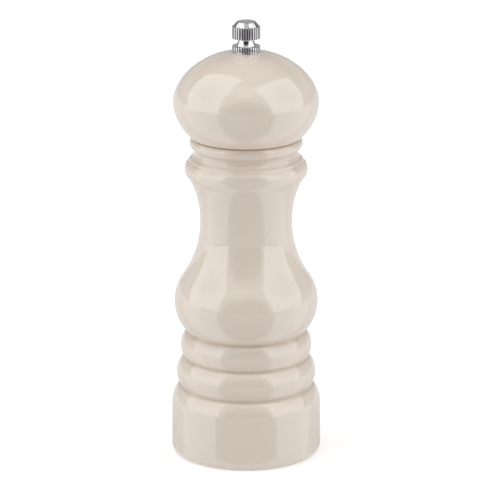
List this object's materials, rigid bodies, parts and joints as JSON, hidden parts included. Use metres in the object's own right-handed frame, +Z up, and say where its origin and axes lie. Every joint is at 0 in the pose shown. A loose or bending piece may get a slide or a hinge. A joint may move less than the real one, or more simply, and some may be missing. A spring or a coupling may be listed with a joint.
{
  "type": "pepper mill",
  "caption": "Hand pepper mill with a turned, lacquered wooden body and turning head, a ceramic conical burr set and a fluted metal knob that sets the grind.",
  "frame": {"origin": "centre of the flat underside of the base", "axes": "+Z up along the spindle, from the base to the knob; +X towards one of the two screws of the retaining bar"},
  "size_m": [0.056, 0.056, 0.165],
  "materials": {
    "lacquer": "turned hardwood under high-gloss cream lacquer",
    "chrome": "polished chrome plating",
    "steel": "brushed stainless steel",
    "spring_steel": "bright drawn spring steel",
    "nylon": "natural moulded nylon, slightly translucent white",
    "burr_ceramic": "unglazed white technical ceramic"
  },
  "bodies": {
    "base": {"body": "lacquer", "neck_bush": "nylon", "burr_housing": "nylon", "stator_burr": "burr_ceramic", "retaining_bar": "steel", "retaining_bar_screws": "steel", "bar_bush": "nylon"},
    "drive": {"guide_bush": "nylon", "thrust_washer": "steel", "spring": "spring_steel"},
    "grinder": {"spindle": "steel", "rotor_core": "nylon", "rotor_burr": "burr_ceramic", "rotor_clip": "spring_steel", "spring_seat": "steel"},
    "top": {"head": "lacquer", "head_ferrule": "steel", "drive_plate": "steel", "drive_plate_screws": "steel"},
    "knob": {"knob": "chrome"}
  },
  "joints": [
    {"name": "mill_turn", "type": "hinge", "parent": "base", "child": "drive", "pos_m": [0, 0, 0.033], "axis": [0, 0, 1], "continuous": true},
    {"name": "grind_adjust", "type": "slide", "parent": "drive", "child": "grinder", "axis": [0, 0, 1], "range_m": [-0.00105, 0.0007], "deforming": ["spring"]},
    {"name": "head_lift", "type": "slide", "parent": "drive", "child": "top", "axis": [0, 0, 1], "range_m": [0, 0.06]},
    {"name": "knob_turn", "type": "hinge", "parent": "top", "child": "knob", "pos_m": [0, 0, 0.1595], "axis": [0, 0, 1], "range_deg": [-363, 543]}
  ],
  "couplings": [
    {"joint": "knob_turn", "follows": "grind_adjust", "rad_per_m": -8976}
  ]
}
